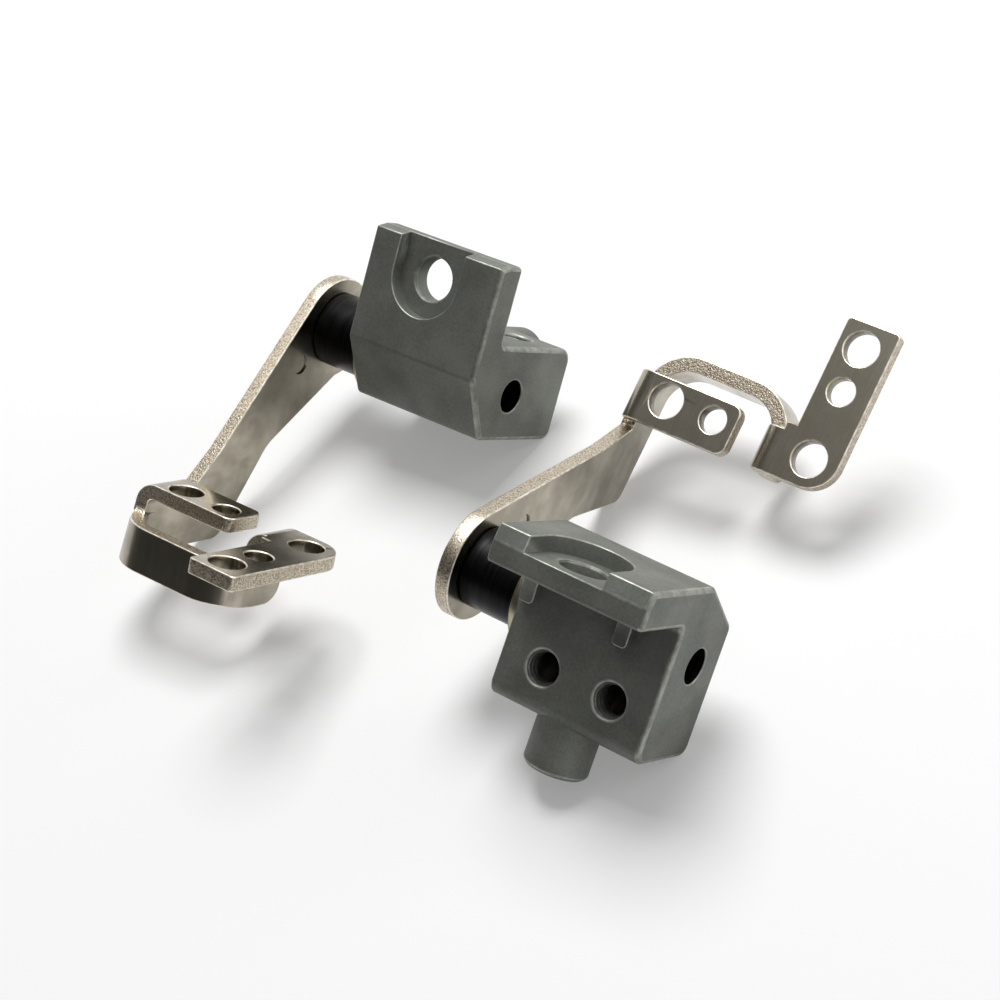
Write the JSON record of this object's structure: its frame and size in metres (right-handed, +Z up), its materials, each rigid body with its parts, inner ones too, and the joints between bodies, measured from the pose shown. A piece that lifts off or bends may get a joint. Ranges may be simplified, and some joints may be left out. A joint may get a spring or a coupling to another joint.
{
  "type": "laptop hinge pair",
  "caption": "Left- and right-hand friction hinges for a laptop lid: a die-cast block holds a clipped shaft that turns with a folded steel arm carrying screw tabs.",
  "frame": {"origin": "centre of the pair's bounding box, on the table under it", "axes": "+Z up from the table, +X the way the right hinge's shaft runs from its arm into its block"},
  "size_m": [0.052, 0.0436, 0.0201],
  "materials": {
    "zinc_casting": "matte as cast",
    "nickel_plated_sheet": "bright nickel plate, worn",
    "blackened_steel": "black oxide, oiled",
    "washer_steel": "plain steel",
    "spring_steel": "oiled spring steel"
  },
  "bodies": {
    "housings": {"right_housing": "zinc_casting", "right_thrust_washer": "washer_steel", "right_friction_clip_1": "spring_steel", "right_friction_clip_2": "spring_steel", "right_friction_clip_3": "spring_steel", "right_friction_clip_4": "spring_steel", "right_friction_clip_5": "spring_steel", "right_friction_clip_6": "spring_steel", "left_housing": "zinc_casting", "left_thrust_washer": "washer_steel", "left_friction_clip_1": "spring_steel", "left_friction_clip_2": "spring_steel", "left_friction_clip_3": "spring_steel", "left_friction_clip_4": "spring_steel", "left_friction_clip_5": "spring_steel", "left_friction_clip_6": "spring_steel"},
    "right_swing": {"right_arm": "nickel_plated_sheet", "right_shaft": "blackened_steel"},
    "left_swing": {"left_arm": "nickel_plated_sheet", "left_shaft": "blackened_steel"}
  },
  "joints": [
    {"name": "right_lid_hinge", "type": "hinge", "parent": "housings", "child": "right_swing", "pos_m": [0.00652, -0.00919, 0.00979], "axis": [-0.9905, 0, 0.1376], "range_deg": [-105, 30]},
    {"name": "left_lid_hinge", "type": "hinge", "parent": "housings", "child": "left_swing", "pos_m": [-0.02311, 0.00889, 0.00849], "axis": [0.9971, -0.0078, -0.0764], "range_deg": [-95, 40]}
  ]
}
